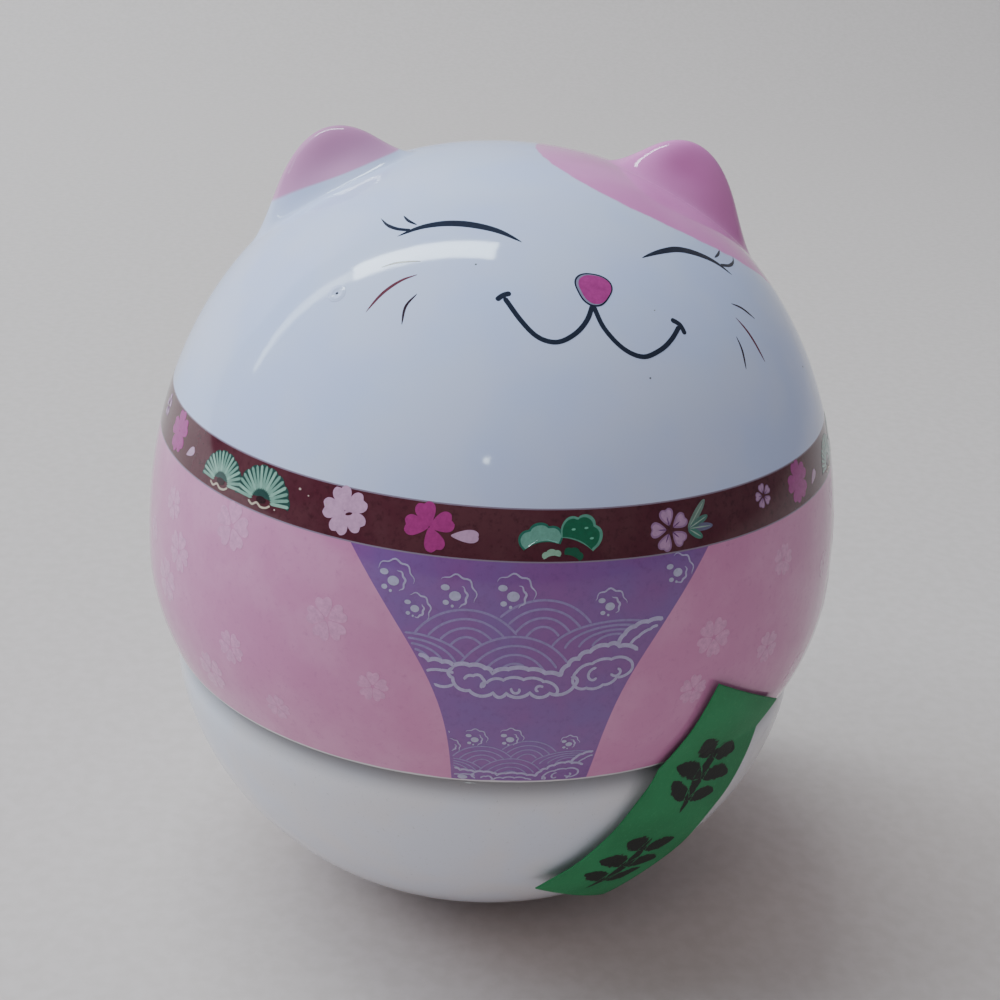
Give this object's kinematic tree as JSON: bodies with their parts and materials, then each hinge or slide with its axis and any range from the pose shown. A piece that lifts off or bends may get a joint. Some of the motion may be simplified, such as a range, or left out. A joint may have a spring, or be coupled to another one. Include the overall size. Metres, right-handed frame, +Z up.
{
  "type": "beckoning cat figurine",
  "caption": "Egg-shaped glazed porcelain cat with closed smiling eyes and a printed robe; the head shell lifts off a round-bottomed bowl, with a paper seal across the seam.",
  "frame": {"origin": "middle of the small flat foot the figurine stands on", "axes": "+Z up through the crown of the head; the cat's robe panel faces -Y; its ears lie to either side along X"},
  "size_m": [0.08, 0.08, 0.0897],
  "materials": {
    "printed_porcelain": "clear gloss glaze over fired-on transfer print",
    "white_porcelain": "clear gloss glaze, unglazed foot and rim",
    "cast_plaster": "cast, matt",
    "green_paper": "matt printed paper with gummed back"
  },
  "bodies": {
    "bowl": {"lower_bowl": "white_porcelain", "cast_weight": "cast_plaster"},
    "shell": {"upper_shell": "printed_porcelain"},
    "seal": {"paper_seal": "green_paper"}
  },
  "joints": [
    {"name": "lid_lift", "type": "slide", "parent": "bowl", "child": "shell", "axis": [0, 0, 1], "range_m": [0, 0.06]},
    {"name": "seal_peel", "type": "slide", "parent": "bowl", "child": "seal", "axis": [0.484, -0.8751, 0], "range_m": [0, 0.02]}
  ]
}
